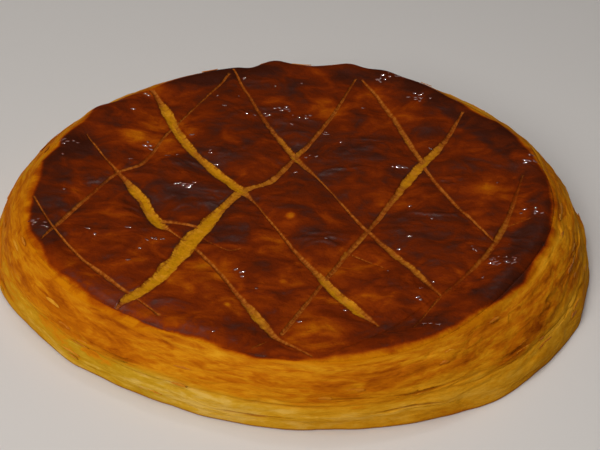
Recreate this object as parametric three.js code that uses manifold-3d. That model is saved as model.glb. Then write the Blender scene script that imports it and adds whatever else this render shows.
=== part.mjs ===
// Galette des rois: a round, flat cake of puff pastry, baked uncut, with a scored and glazed top.
//
// It is one solid. Its wall is two bands of pastry leaves that meet at a seam, its top is a shallow
// dish with a rounded rim, and a lattice of knife scores is cut into the top.
// Lengths are in millimetres and bearings in degrees from +X towards +Y, with +Z up.
// The origin is the centre of the underside.

import * as THREE from 'three';
import { mergeVertices } from 'three/addons/utils/BufferGeometryUtils.js';
import Module from 'manifold-3d';

// Outline in plan. Each lobe swells its ring as many times round as its count, first at its bearing.
const baseRadius = 136.6;
const baseCentre = [2.2, -0.4];
const baseLobes = [
  { count: 2, swell: 2.4, bearing: 0 },
  { count: 3, swell: 2.1, bearing: 65 },
];
const edgeRadius = 122;
const edgeCentre = [-1.2, -0.8];
const edgeLobes = [
  { count: 2, swell: 2.1, bearing: 59.5 },
  { count: 3, swell: 1.8, bearing: 60 },
  { count: 4, swell: 1.6, bearing: 12 },
  { count: 5, swell: 1.5, bearing: -3 },
];

// Wall, from the base ring up to the edge of the glazed top.
const edgeHeight = 29;
const bulgeOut = 3.9;
const bulgeUp = 2.9;
const footInset = 1.4;
const columns = 120;
const rings = 19;

// Pastry leaves: the rings of the wall stand proud and lie back in turn, in two bands that each round
// out between the seam and their other edge. The relief fades out towards the base and the glazed edge.
const leafRelief = 0.55;
const leafWander = 0.35;
const bandSwell = 0.9;
const seamLevel = 1 / 3;
const seamDepth = 1.5;
const unevenness = 0.5;
const endFade = 4;

// Gaps between leaves and leaves that stand proud: where they start and end round the wall, how high
// they are, from 0 at the base to 1 at the glazed edge, and how far they reach out.
const splits = [
  { from: -164, to: -151, level: 0.11, reach: -1.8 },
  { from: -128, to: -115, level: 0.44, reach: -2.2 },
  { from: -86, to: -72, level: 0.44, reach: -1.6 },
  { from: -73, to: -62, level: 0.44, reach: -2.2 },
  { from: -66, to: -54, level: 0.55, reach: -2.2 },
  { from: -50, to: -27, level: 0.55, reach: -1.6 },
  { from: 18, to: 34, level: 0.55, reach: -2.0 },
  { from: 71, to: 85, level: 0.44, reach: -1.8 },
  { from: 118, to: 131, level: 0.67, reach: -2.0 },
  { from: 158, to: 172, level: 0.44, reach: -2.0 },
  { from: -108, to: -96, level: 0.28, reach: 1.2 },
  { from: -6, to: 8, level: 0.28, reach: 1.5 },
  { from: 44, to: 58, level: 0.28, reach: 1.4 },
  { from: 139, to: 152, level: 0.39, reach: 1.3 },
];

// Slow waves: how many crests go round or across, and each one's share of the height.
const waves = [
  { crests: 3, share: 0.45 },
  { crests: 7, share: 0.3 },
  { crests: 13, share: 0.25 },
];
const waveTurn = 2.4;

// Top.
const dishDepth = 2.6;
const rimRise = 1.0;
const rimPlace = 0.945;
const rimWidth = 0.045;
const puffHeight = 0.8;
const puffPitch = 340;
const puffFade = 4;
const rimCrowding = 0.35;

// Scores: stations along each cut, as [x, y, width] at the surface of the top.
const scores = [
  [[-119, -21, 0.8], [-107, -42, 1.2], [-92, -63, 1.3], [-80, -75, 2.3], [-54, -101, 0.6]],
  [[-104, 38, 0.8], [-85, 7, 2.2], [-76, -6, 4.4], [-66, -24, 5.8], [-60, -34, 5.0], [-56, -38, 1.4],
    [-41, -54, 1.6], [-26, -77, 1.8], [-10, -104, 4.4], [-4, -113, 2.4], [9, -123, 0.6]],
  [[-77, 84, 2.6], [-69, 68, 4.8], [-53, 32, 4.5], [-32, 5, 5.6], [-25, -3, 4.4], [-20, -10, 1.3],
    [3, -53, 2.3], [20, -80, 5.0], [28, -90, 5.0], [36, -100, 0.5]],
  [[-37, 111, 1.0], [-20, 67, 2.3], [-1, 29, 3.9], [11, 10, 0.9], [32, -29, 2.0], [55, -64, 3.3],
    [63, -78, 0.8]],
  [[32, 107, 1.0], [42, 85, 2.5], [58, 36, 3.0], [62, 22, 1.8], [72, -2, 2.0], [89, -35, 0.8]],
  [[-110, -52, 0.6], [-104, -35, 2.0], [-85, 6, 1.8], [-75, 15, 2.2], [-65, 46, 1.0],
    [-39, 105, 0.9]],
  [[-70, -96, 1.8], [-57, -75, 6.4], [-46, -47, 8.4], [-34, -18, 4.4], [-25, -2, 4.3], [-14, 6, 3.2],
    [2, 37, 3.0], [14, 64, 1.8], [28, 108, 1.0]],
  [[-3, -109, 1.8], [12, -75, 1.8], [27, -42, 3.0], [37, -22, 2.2], [58, 24, 4.9], [70, 45, 3.3],
    [83, 77, 1.0]],
  [[51, -100, 0.6], [63, -79, 0.9], [83, -50, 2.4], [94, -27, 2.6], [108, 20, 0.8]],
  [[-62, -31, 4.5], [-56, -31, 2.3], [-41, -35, 1.4]],
];
const scoreStep = 8;
const shallowestCut = 0.9;
const cutPerWidth = 0.2;
const cutFloorShare = 0.6;
const cutterLift = 4;

// Colour and finish of the baked crust.
const crustColour = 0xb9781c;
const crustRoughness = 0.62;

const TAU = 2 * Math.PI;
const halfWaveMean = 2 / Math.PI;
const up = new THREE.Vector3(0, 0, 1);

function radiusAt(bearing, radius, lobes) {
  let sum = radius;
  for (const lobe of lobes) {
    sum += lobe.swell * Math.cos(lobe.count * (bearing - THREE.MathUtils.degToRad(lobe.bearing)));
  }
  return sum;
}

// A wave between about -1 and 1 along an angle. Each key gives a different wave.
function wave(angle, key) {
  let sum = 0;
  for (const { crests, share } of waves) {
    sum += share * Math.cos(crests * angle + waveTurn * key * crests);
  }
  return sum;
}

// How much a split is open at a bearing: 1 in its middle and 0 at its ends and beyond.
function openness(split, bearing) {
  const middle = THREE.MathUtils.degToRad((split.from + split.to) / 2);
  const half = THREE.MathUtils.degToRad((split.to - split.from) / 2);
  const away = Math.abs(Math.atan2(Math.sin(bearing - middle), Math.cos(bearing - middle)));
  return Math.max(0, 1 - (away / half) ** 2);
}

// 1 on most of the wall, and down to 0 at the base and at the glazed edge.
function awayFromEnds(level) {
  return Math.min(1, endFade * Math.sin(Math.PI * level));
}

// How far the wall stands out from its smooth form at one ring and bearing.
function wallRelief(ring, bearing) {
  const last = rings - 1;
  const level = ring / last;
  const seamRing = Math.round(seamLevel * last);
  const uneven = 1 + unevenness * wave(bearing, ring);
  if (ring === seamRing) {
    return -seamDepth * uneven;
  }
  const inBand = level < seamLevel ? level / seamLevel : (level - seamLevel) / (1 - seamLevel);
  const side = (ring - seamRing) % 2 === 0 ? -1 : 1;
  const swell = bandSwell * (Math.sin(Math.PI * inBand) - halfWaveMean);
  let relief = (swell + side * leafRelief * uneven) * awayFromEnds(level);
  for (const split of splits) {
    if (Math.round(split.level * last) === ring) {
      relief += split.reach * openness(split, bearing);
    }
  }
  return relief;
}

// A point of the wall. Ring 0 is the rim of the flat underside, and the last ring the glazed edge.
function wallPoint(ring, bearing) {
  const last = rings - 1;
  const wander = leafWander * wave(bearing, ring + rings) * awayFromEnds(ring / last);
  const level = (ring + wander) / last;
  const swell = 4 * level * (1 - level);
  const base = radiusAt(bearing, baseRadius, baseLobes);
  const edge = radiusAt(bearing, edgeRadius, edgeLobes);
  const slopeOut = edge - base + 4 * bulgeOut * (1 - 2 * level);
  const slopeUp = edgeHeight + 4 * bulgeUp * (1 - 2 * level);
  const slope = Math.hypot(slopeOut, slopeUp);
  let out = THREE.MathUtils.lerp(base, edge, level) + bulgeOut * swell;
  let height = edgeHeight * level + bulgeUp * swell;
  if (ring === 0) {
    out -= footInset;
  } else if (ring < last) {
    const relief = wallRelief(ring, bearing);
    out += (relief * slopeUp) / slope;
    height -= (relief * slopeOut) / slope;
  }
  return new THREE.Vector3(
    out * Math.cos(bearing) + THREE.MathUtils.lerp(baseCentre[0], edgeCentre[0], level),
    out * Math.sin(bearing) + THREE.MathUtils.lerp(baseCentre[1], edgeCentre[1], level),
    Math.max(height, 0),
  );
}

// Height of the top before it is scored: a dish with a rounded rim, puffed unevenly inside it.
function topHeight(x, y) {
  const fromCentre = [x - edgeCentre[0], y - edgeCentre[1]];
  const bearing = Math.atan2(fromCentre[1], fromCentre[0]);
  const reach = Math.hypot(...fromCentre) / radiusAt(bearing, edgeRadius, edgeLobes);
  const inside = Math.max(0, 1 - reach ** 2);
  const rim = rimRise * Math.exp(-(((reach - rimPlace) / rimWidth) ** 2));
  const puff = wave((TAU * x) / puffPitch, 1) * wave((TAU * y) / puffPitch, 2);
  return edgeHeight + rim - dishDepth * inside + puffHeight * puff * Math.min(1, puffFade * inside);
}

// A place on the top from a place on a square of side 2, whose rim becomes the glazed edge with evenly
// spaced bearings. The rings are crowded towards the rim.
function topPoint(across, along) {
  const ring = Math.max(Math.abs(across), Math.abs(along));
  let bearing = 0;
  if (ring > 0) {
    bearing = Math.abs(across) >= Math.abs(along)
      ? (Math.PI / 4) * (along / across) + (across < 0 ? Math.PI : 0)
      : Math.PI / 2 - (Math.PI / 4) * (across / along) + (along < 0 ? Math.PI : 0);
  }
  const reach = ring + (rimCrowding * Math.sin(Math.PI * ring)) / Math.PI;
  const radius = reach * radiusAt(bearing, edgeRadius, edgeLobes);
  const x = radius * Math.cos(bearing) + edgeCentre[0];
  const y = radius * Math.sin(bearing) + edgeCentre[1];
  return new THREE.Vector3(x, y, ring === 1 ? edgeHeight : topHeight(x, y));
}

// A solid from a list of triangles, each three points in order round its outer face.
function solidFrom(wasm, corners) {
  const loose = new THREE.BufferGeometry().setFromPoints(corners);
  const merged = mergeVertices(loose, 1e-3);
  return new wasm.Manifold(new wasm.Mesh({
    numProp: 3,
    vertProperties: new Float32Array(merged.attributes.position.array),
    triVerts: new Uint32Array(merged.index.array),
  }));
}

// The cake without its scores.
function makeCake(wasm) {
  const corners = [];
  const bearingOf = (column) => (TAU * (column % columns)) / columns;
  for (let column = 0; column < columns; column += 1) {
    const [here, next] = [bearingOf(column), bearingOf(column + 1)];
    corners.push(new THREE.Vector3(...baseCentre, 0), wallPoint(0, next), wallPoint(0, here));
    for (let ring = 0; ring < rings - 1; ring += 1) {
      const low = [wallPoint(ring, here), wallPoint(ring, next)];
      const high = [wallPoint(ring + 1, here), wallPoint(ring + 1, next)];
      corners.push(low[0], low[1], high[1], low[0], high[1], high[0]);
    }
  }
  const cells = columns / 4;
  const place = (index) => (2 * index) / cells - 1;
  for (let i = 0; i < cells; i += 1) {
    for (let j = 0; j < cells; j += 1) {
      const [a, b] = [topPoint(place(i), place(j)), topPoint(place(i + 1), place(j))];
      const [c, d] = [topPoint(place(i + 1), place(j + 1)), topPoint(place(i), place(j + 1))];
      if ((place(i) + place(i + 1)) * (place(j) + place(j + 1)) > 0) {
        corners.push(a, b, c, a, c, d);
      } else {
        corners.push(a, b, d, b, c, d);
      }
    }
  }
  return solidFrom(wasm, corners);
}

// The four corners of a cutter across one station: wide above the top, narrow at the cut's floor.
function cutterSection(place, sideways, width) {
  const half = width / 2;
  const depth = shallowestCut + cutPerWidth * width;
  const floorHalf = cutFloorShare * half;
  const headHalf = half + ((half - floorHalf) * cutterLift) / depth;
  const surface = new THREE.Vector3(place.x, place.y, topHeight(place.x, place.y));
  return [[-headHalf, cutterLift], [-floorHalf, -depth], [floorHalf, -depth], [headHalf, cutterLift]]
    .map(([side, rise]) => surface.clone().addScaledVector(sideways, side).addScaledVector(up, rise));
}

// The body that one knife score removes.
function makeCutter(wasm, stations) {
  const path = new THREE.CatmullRomCurve3(stations.map((station) => new THREE.Vector3(...station)));
  const steps = Math.max(3, Math.round(path.getLength() / scoreStep));
  const sections = [];
  for (let step = 0; step <= steps; step += 1) {
    const place = path.getPointAt(step / steps);
    const ahead = path.getTangentAt(step / steps).setZ(0).normalize();
    const sideways = new THREE.Vector3().crossVectors(up, ahead);
    sections.push(cutterSection(place, sideways, place.z));
  }
  const corners = [];
  for (let step = 0; step < steps; step += 1) {
    const [here, next] = [sections[step], sections[step + 1]];
    for (let edge = 0; edge < 4; edge += 1) {
      const after = (edge + 1) % 4;
      corners.push(here[edge], here[after], next[after], here[edge], next[after], next[edge]);
    }
  }
  const [first, last] = [sections[0], sections[steps]];
  corners.push(first[0], first[2], first[1], first[0], first[3], first[2]);
  corners.push(last[0], last[1], last[2], last[0], last[2], last[3]);
  return solidFrom(wasm, corners);
}

function makeGalette(wasm) {
  let cake = makeCake(wasm);
  for (const stations of scores) {
    cake = cake.subtract(makeCutter(wasm, stations));
  }
  const { vertProperties, triVerts } = cake.getMesh();
  const geometry = new THREE.BufferGeometry();
  geometry.setAttribute('position', new THREE.BufferAttribute(vertProperties, 3));
  geometry.setIndex(new THREE.BufferAttribute(triVerts, 1));
  geometry.computeVertexNormals();
  const crust = new THREE.MeshStandardMaterial({
    color: crustColour,
    roughness: crustRoughness,
    metalness: 0,
  });
  const mesh = new THREE.Mesh(geometry, crust);
  mesh.name = 'galette';
  return mesh;
}

const wasm = await Module();
wasm.setup();

const group = new THREE.Group();
group.add(makeGalette(wasm));

export default group;
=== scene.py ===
"""Galette des rois: a round puff pastry cake with a scored top under a baked egg wash.

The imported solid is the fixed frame. The crust and the glazed top stand for it, with loose pastry flakes
on the wall and blisters in the egg wash. Lengths are millimetres and bearings degrees from +X towards
+Y, unless a name or a property's unit says otherwise. Meshes are made in metres.
"""

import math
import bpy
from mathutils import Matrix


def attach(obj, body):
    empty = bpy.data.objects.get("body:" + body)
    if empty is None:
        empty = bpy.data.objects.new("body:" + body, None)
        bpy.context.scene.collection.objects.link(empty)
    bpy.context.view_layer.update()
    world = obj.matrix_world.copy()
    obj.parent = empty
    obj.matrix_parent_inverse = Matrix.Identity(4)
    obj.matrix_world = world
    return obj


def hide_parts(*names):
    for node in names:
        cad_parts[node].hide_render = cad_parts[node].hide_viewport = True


bl_info = {
    "name": "Galette des rois",
    "version": (1, 0, 0),
    "blender": (4, 5, 0),
    "location": "3D View > Sidebar > Galette",
    "description": "Builds the looks of a puff pastry cake round its packed solid",
    "category": "Object",
}

import bpy
import numpy as np
from bpy.props import FloatProperty, FloatVectorProperty, IntProperty, PointerProperty
from mathutils import Matrix, Vector
from mathutils.geometry import delaunay_2d_cdt

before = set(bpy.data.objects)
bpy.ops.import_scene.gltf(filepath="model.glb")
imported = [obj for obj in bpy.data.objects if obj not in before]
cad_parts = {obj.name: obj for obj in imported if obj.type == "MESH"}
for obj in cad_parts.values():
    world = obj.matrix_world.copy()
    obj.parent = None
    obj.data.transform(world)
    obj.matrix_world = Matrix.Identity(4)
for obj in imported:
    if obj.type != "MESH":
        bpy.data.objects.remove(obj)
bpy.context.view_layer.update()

MM = 0.001
TAU = 2 * math.pi
CAD_NODE = "galette"
BODY = "root"

# Outline in plan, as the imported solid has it: (count, swell, bearing) for each lobe of a ring.
BASE_RADIUS = 136.6
BASE_CENTRE = (2.2, -0.4)
BASE_LOBES = ((2, 2.4, 0), (3, 2.1, 65))
EDGE_RADIUS = 122.0
EDGE_CENTRE = (-1.2, -0.8)
EDGE_LOBES = ((2, 2.1, 59.5), (3, 1.8, 60), (4, 1.6, 12), (5, 1.5, -3))

# Wall, from the base ring up to the edge of the glazed top.
EDGE_HEIGHT = 29.0
BULGE_OUT = 3.9
BULGE_UP = 2.9
FOOT_INSET = 0.3
FOOT_LEVEL = 0.02
# Where the foot of the wall spreads or draws in: (bearing, half length, push outwards).
FOOT_SWELLS = (
    (-155, 9, 2.6), (-134, 8, 1.2), (-104, 9, 1.3), (-90, 5, 1.0), (-74, 8, -0.2), (-51, 8, 1.5),
    (-24, 4, 0.9), (-9.5, 5.5, 1.1), (35, 12, 0.8), (80, 9, -0.7), (128, 12, 0.9), (166, 8, 2.2),
    (180, 20, 1.6), (-162, 6, 0.6),
)
FOOT_REACH = 0.2
WALL_ARC = 36.0
END_FADE = 4
BAND_SWELL = 0.9
SEAM_SHARE = 1 / 3
SHINGLES = 0.42
COLUMNS = 1000
ROWS_PER_LEAF = 5
# Streaks are noise that is drawn out along the leaves: one leaf counts as this length across them.
LEAF_SPREAD = 8

# Gaps between leaves: (from, to, level, gape, depth), and leaves that stand proud: (from, to, level, reach).
SLITS = (
    (-164, -151, 0.11, 0.7, 0.9), (-127, -116, 0.46, 1.2, 1.2), (-104, -88, 0.19, 0.4, 0.6),
    (-84, -74, 0.42, 0.6, 0.8), (-72, -62, 0.47, 0.9, 0.9), (-78, -60, 0.22, 0.5, 0.8),
    (-50, -41, 0.44, 0.9, 0.8), (-38, -28, 0.70, 0.5, 0.6), (-18, -6, 0.55, 0.7, 0.9),
    (20, 33, 0.55, 1.0, 1.2), (72, 84, 0.44, 0.9, 1.2), (119, 130, 0.67, 1.0, 1.2),
    (159, 171, 0.44, 0.9, 1.2),
)
PROUD_LEAVES = ((-108, -96, 0.28, 1.0), (-6, 8, 0.28, 1.4), (44, 58, 0.28, 1.3), (139, 152, 0.39, 1.2))
# Where the oven baked the wall darker, and one place of painted light: (bearing, half length, level, half
# height, amount).
WALL_BROWNING_AND_LIGHT = (
    (-156, 26, 0.65, 0.4, 0.40), (176, 26, 0.65, 0.55, 0.68), (-118, 24, 0.75, 0.25, 0.34),
    # The entry at bearing -28, with a negative amount, is painted light: it makes the low wall on the right
    # paler, on the side that lies in shade.
    (-84, 24, 0.75, 0.3, 0.32), (-20, 34, 0.7, 0.3, 0.3), (-28, 24, 0.2, 0.18, -0.4),
    (-76, 30, 0.22, 0.22, -0.6), (-36, 6, 0.50, 0.09, 0.9), (-47, 5, 0.40, 0.07, 0.8),
    (-30, 7, 0.78, 0.06, 0.5), (-22, 8, 0.42, 0.06, 0.5), (-58, 7, 0.62, 0.05, 0.35),
    (-121, 5, 0.46, 0.05, 0.8), (-116, 9, 0.90, 0.07, 0.55), (-128, 9, 0.86, 0.10, 0.5),
    (-106, 8, 0.66, 0.06, 0.35), (-140, 7, 0.62, 0.07, 0.4), (-160, 6, 0.30, 0.10, 0.35),
    (-163, 9, 0.92, 0.08, 0.4), (-14, 9, 0.60, 0.10, 0.5), (3, 10, 0.80, 0.08, 0.4),
    (25, 10, 0.50, 0.12, 0.6), (62, 9, 0.60, 0.10, 0.5), (88, 11, 0.78, 0.09, 0.5),
    (105, 12, 0.45, 0.10, 0.6), (150, 10, 0.60, 0.12, 0.6), (170, 8, 0.80, 0.08, 0.5),
)
# Where the egg wash ends, going round: (bearing, how far inside the edge ring, how far it fades out).
WASH_EDGE = (
    (-180, 4.6, 5.2), (-172, 5.0, 5.2), (-167, 3.6, 3.8), (-160, 1.8, 5.0), (-152, 4.0, 7.0),
    (-145, 0.8, 2.8), (-137, 1.8, 7.6), (-128, -0.2, 4.8), (-120, -0.4, 5.0), (-112, 1.0, 1.6),
    (-104, 1.2, 2.0), (-96, -0.6, 2.4), (-88, -0.9, 2.0), (-80, 2.4, 5.0), (-72, 3.6, 5.0),
    (-64, 3.2, 3.8), (-56, 2.8, 4.2), (-48, 1.6, 4.4), (-41, -1.4, 2.0), (-32, -0.9, 3.0),
    (-24, -0.7, 3.0), (-16, 0.8, 3.6), (-8, 1.3, 3.6), (0, 1.8, 5.6), (10, 0.8, 3.8), (17, 3.2, 2.4),
    (24, 4.0, 1.8), (31, 1.3, 2.2), (38, 4.6, 2.4), (46, 3.4, 2.2), (53, 2.6, 1.8), (61, 0.8, 2.4),
    (67, -1.4, 3.5), (74, -1.0, 3.0), (80, 2.2, 2.2), (88, 3.6, 2.4), (94, -0.8, 2.6), (101, 1.0, 2.2),
    (108, -0.8, 2.2), (115, 1.4, 1.6), (119, 2.6, 1.6), (124, 2.8, 2.6), (131, 3.0, 3.6), (138, 1.6, 1.6),
    (148, -1.2, 3.0), (155, 4.2, 4.6), (163, 1.6, 2.6), (168, 3.6, 3.0), (174, 0.8, 2.4),
)
# How dark the egg wash's rim baked, going round: (bearing, amount, breadth).
RIM_BROWNING = (
    (-180, 0.34, 12), (-174, 0.36, 14), (-167, 0.28, 12), (-159, 0.34, 11), (-152, 0.24, 10),
    (-145, -0.06, 8), (-136, -0.10, 8), (-128, -0.16, 8), (-120, -0.22, 8), (-112, -0.16, 8),
    (-104, -0.14, 8), (-96, -0.14, 8), (-88, -0.08, 5), (-80, -0.06, 7), (-72, 0.16, 12), (-64, 0.26, 13),
    (-56, 0.20, 12), (-48, 0.14, 11), (-41, 0.46, 9), (-33, 0.38, 8), (-24, 0.42, 13), (-16, 0.40, 13),
    (-8, 0.42, 9), (0, 0.12, 8), (10, 0.26, 12), (19, 0.28, 12), (26, 0.45, 13), (34, 0.50, 14),
    (40, 0.42, 13), (48, 0.28, 10), (56, 0.46, 9), (64, 0.20, 9), (72, 0.22, 12), (79, 0.18, 9),
    (88, 0.02, 5), (94, 0.20, 10), (101, 0.24, 10), (107, 0.52, 11), (116, 0.46, 11), (122, 0.16, 8),
    (131, -0.08, 7), (139, 0.02, 7), (148, 0.18, 9), (155, -0.06, 8), (160, 0.30, 11), (166, 0.48, 13),
    (173, 0.36, 13),
)
# Where the egg wash ran together at its edge and baked to a dark line: (bearing, half length, amount).
EDGE_LINES = ((-117, 17, 0.34), (-92, 8, 0.4), (112, 9, 0.2), (53, 5, 0.2))

# Top: a dish with a rounded rim.
DISH_DEPTH = 2.6
RIM_RISE = 1.0
RIM_PLACE = 0.945
RIM_WIDTH = 0.045
RIM_ROUND = 2.8
PUFF_HEIGHT = 0.8
PUFF_PITCH = 340
PUFF_FADE = 4
WAVES = ((3, 0.45), (7, 0.3), (13, 0.25))
WAVE_TURN = 2.4
EDGE_DROP = 0.5
EDGE_ROUND = 2.6
# Bumps and dips of the glazed edge: (bearing, half length, rise, push outwards).
EDGE_SWELLS = (
    (96.5, 3.2, 1.6, 0.8), (87.5, 5.0, -1.3, -0.6), (78, 3.0, 1.3, 0.6), (103, 2.5, -1.0, -0.8),
    (69, 3.5, 0.9, 0.6), (50, 7.0, -0.6, -0.4), (24, 9.0, 0.9, 2.4), (34, 2.0, 0.5, 0.9),
    (133, 5.0, -0.5, -0.3), (148, 3.5, 1.1, 0.6), (141, 3.0, -0.5, -0.4), (160, 5.0, 0.4, 0.3),
    (-110, 6.0, -0.4, 0.0), (-150, 9.0, 0.4, 0.2), (-20, 8.0, 0.5, 0.0),
)
SWELL_REACH = 7.0
# The glazed surface's grid of points, which stays clear of its edge ring and of the cuts' lips.
GRID_PITCH = 1.0
ROW_SHARE = 0.866
GRID_HALF = 1.05 * EDGE_RADIUS
GRID_STRAY = 0.2
RING_CLEARANCE = 0.7
LIP_CLEARANCE = 1.3
THINNING = 0.28
# The hidden rings below the edge: their shares of its radius, and their heights.
WAIST_SHARE = 0.992
WAIST_DROP = 3
FLOOR_SHARE = 0.984
SLAB_FLOOR = 22.5
SHELF_SHARE = 0.985
SHELF_HEIGHT = 22.0

# The flat maps: the wall in strips one over another, and discs at spots: (size, across, up).
WALL_STRIPS = 4
STRIP_TALL = 0.165
STRIP_GAP = 0.01
UNDERSIDE_SPOT = (0.26, 0.15, 0.85)
SHELF_SPOT = (0.12, 0.45, 0.85)
SKIRT_SPOT = (0.12, 0.65, 0.85)
GLAZE_SPOT = (0.93, 0.475, 0.525)
HIDDEN_SPOT = (0.11, 0.94, 0.06)

# Knife cuts: stations as (x, y, width) at the surface of the top.
SCORES = (
    ((-119, -21, 0.5), (-107, -42, 0.9), (-92, -63, 1.3), (-80, -75, 2.3), (-54, -101, 0.6)),
    ((-104, 38, 0.5), (-85, 7, 1.7), (-76, -6, 5.0), (-66, -24, 6.4), (-60, -34, 5.6), (-56, -38, 1.4),
     (-41, -54, 1.6), (-26, -77, 1.8), (-10, -104, 4.4), (-4, -113, 2.4), (9, -123, 0.6)),
    ((-77, 84, 2.6), (-69, 68, 4.8), (-53, 32, 4.5), (-32, 5, 5.6), (-25, -3, 4.4), (-20, -10, 1.3),
     (3, -53, 2.3), (20, -80, 5.0), (28, -90, 5.0), (36, -100, 0.5)),
    ((-37, 111, 1.0), (-20, 67, 2.3), (-1, 29, 3.9), (11, 10, 0.9), (32, -29, 2.0), (55, -64, 3.3),
     (63, -78, 0.8)),
    ((32, 107, 1.0), (42, 85, 2.5), (58, 36, 3.0), (62, 22, 1.8), (72, -2, 2.0), (89, -35, 0.8)),
    ((-110, -52, 0.6), (-104, -35, 2.0), (-85, 6, 1.8), (-75, 15, 2.2), (-65, 46, 1.0), (-39, 105, 0.9)),
    ((-71, -98, 1.8), (-67, -91, 5.0), (-57, -75, 7.2), (-46, -47, 9.4), (-34, -18, 5.0), (-25, -2, 4.3),
     (-14, 6, 3.2), (2, 37, 3.0), (14, 64, 1.8), (28, 108, 1.0)),
    ((-3, -109, 1.8), (12, -75, 1.8), (27, -42, 3.0), (37, -22, 2.2), (58, 24, 4.9), (70, 45, 3.3),
     (83, 77, 1.0)),
    ((51, -100, 0.6), (63, -79, 0.9), (83, -50, 2.8), (94, -27, 3.1), (108, 20, 0.8)),
    ((-62, -31, 4.5), (-56, -31, 2.3), (-41, -35, 1.4)),
)
NICKS = (
    ((26, -50, 0.5), (39, -58, 0.5)),
    ((-42, -42, 0.6), (-28, -51, 0.5), (-24, -49, 0.4)),
    ((-14, -120, 1.1), (-9, -115, 0.7)),
    ((18, -120, 0.4), (39, -104, 0.5), (60, -81, 0.5), (74, -69, 0.4)),
    ((93, -26, 0.5), (107, -18, 0.5)),
)
# How bare the pastry is in each cut that glaze ran back over, by its number in the two tables together.
BARENESS = {3: 0.85, 4: 0.9, 5: 0.8, 8: 0.55, 10: 0.7, 11: 0.5, 12: 0.7, 13: 0.3, 14: 0.5}
CUT_STEP = 2.0
CUT_REACH = 14.0
NARROWEST_HALF = 0.22
# How far apart the noise of one cut is read from that of the next.
CUT_APART = 300
# Lines of points along a cut: (share of half its gape, least half gape where the line is kept), lines
# this far outside the lips, and the distance from point to point, by how wide the cut gets.
CUT_LINES = ((0.31, 1.0), (0.62, 0), (1, 0), (0.155, 1.7), (0.465, 1.7), (0.8, 1.7))
LIP_LINES = (0.35, 0.9)
WIDE_CUT = 4
WIDE_CUT_STEP = 0.55
NARROW_CUT_STEP = 0.8

# Where the glaze baked darker (amount above 0) or stayed paler: (x, y, radius, amount).
GLAZE_BROWNING = (
    (-66, 52, 13, -0.42), (-50, 61, 7, -0.16), (-80, 37, 9, -0.36), (-76, 84, 9, -0.28), (35, 95, 10, -0.40),
    (15, 77, 10, -0.22), (54, 76, 10, -0.26), (36, 70, 8, -0.12), (71, 50, 8, -0.22), (108, 40, 7, -0.18),
    (88, 7, 10, -0.34), (51, -3, 8, -0.14), (83, -2, 8, -0.12), (0, 28, 7, -0.20), (-24, 2, 8, -0.10),
    (-78, 22, 6, -0.14), (-110, 6, 8, -0.20), (-112, -20, 8, -0.14), (-76, -31, 10, -0.20),
    (-9, -40, 9, -0.42), (16, -23, 9, -0.22), (99, -23, 9, -0.36), (83, -53, 9, -0.20), (-71, -56, 11, -0.38),
    (-92, -66, 10, -0.15), (-36, -64, 9, -0.36), (-5, -51, 8, -0.20), (20, -62, 13, -0.50),
    (-37, -76, 13, -0.22), (-81, -76, 9, -0.28), (22, -82, 10, -0.26), (73, -65, 8, -0.10),
    (12, -107, 16, -0.42), (-20, -92, 8, -0.20), (-45, -101, 9, -0.17), (42, -100, 10, -0.08),
    (-45, 102, 14, 0.40), (-47, 80, 11, 0.20), (-62, 93, 8, 0.20), (-8, 95, 14, 0.30), (20, 111, 9, 0.22),
    (54, 100, 9, 0.28), (70, 80, 7, 0.18), (-24, 63, 15, 0.32), (-8, 51, 14, 0.22), (30, 60, 9, 0.14),
    (61, 59, 8, 0.42), (93, 60, 12, 0.10), (-88, 50, 8, 0.20), (-104, 28, 10, 0.12), (-92, 18, 9, 0.34),
    (92, 42, 8, 0.20), (22, 36, 17, 0.42), (46, 30, 8, 0.14), (60, 24, 8, 0.18), (78, 28, 9, 0.24),
    (-36, 27, 14, 0.42), (-57, 15, 10, 0.28), (6, 3, 17, 0.34), (24, 0, 8, 0.10), (102, 9, 8, 0.20),
    (-52, -10, 18, 0.50), (-94, -11, 9, 0.20), (-67, -9, 8, 0.10), (108, -6, 7, 0.14), (70, -16, 10, 0.30),
    (33, -22, 12, 0.12), (-27, -39, 9, 0.60), (7, -38, 11, 0.48), (60, -38, 17, 0.42), (-97, -32, 14, 0.18),
    (-11, -64, 7, 0.20), (88, -64, 7, 0.10),
)
# Small places where the glaze rubbed off: (x, y, radius, amount).
PALE_SPOTS = ((-2.3, -22.9, 2.4, 0.65), (-26.2, -91.2, 1.5, 0.55), (-3.8, -73.7, 1.8, 0.4))

PASTRY_TONE = -0.35

# Blisters of egg wash: (x, y, how many) for each cluster, and how many lie scattered.
BLISTER_CLUSTERS = (
    (-74, 33, 6), (-18, 68, 7), (-9, 74, 9), (1, 67, 6), (-52, -2, 14), (-115, -40, 8), (-113, 29, 7),
    (42, 108, 7), (52, 111, 7), (61, 91, 9), (50, 24, 10), (13, 53, 6), (84, -44, 11), (88, -51, 13),
    (94, -54, 9), (109, -12, 8), (-62, -46, 8), (-20, -68, 4), (54, -80, 3), (56, -98, 5), (112, 30, 6),
    (6, 29, 4), (-44, 29, 3), (-62, 25, 3),
)
SCATTERED_BLISTERS = 50
BLISTER_SPREAD = 2.8
# Each blister: its least distance from a cut, its greatest reach to the edge, the ranges of its half
# length, half breadth and height, its tilt, how far it is sunk in, and how deep its hidden point lies.
BLISTER_CLEARANCE = 0.9
BLISTER_REACH = 0.985
BLISTER_LONG = (0.6, 1.7)
BLISTER_SHORT = (0.5, 0.9)
BLISTER_TALL = (0.14, 0.28)
BLISTER_TILT = 0.35
BLISTER_SUNK = 0.06
BLISTER_ROOT = 0.35
DOME_RINGS = 4
DOME_SPOKES = 12

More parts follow.
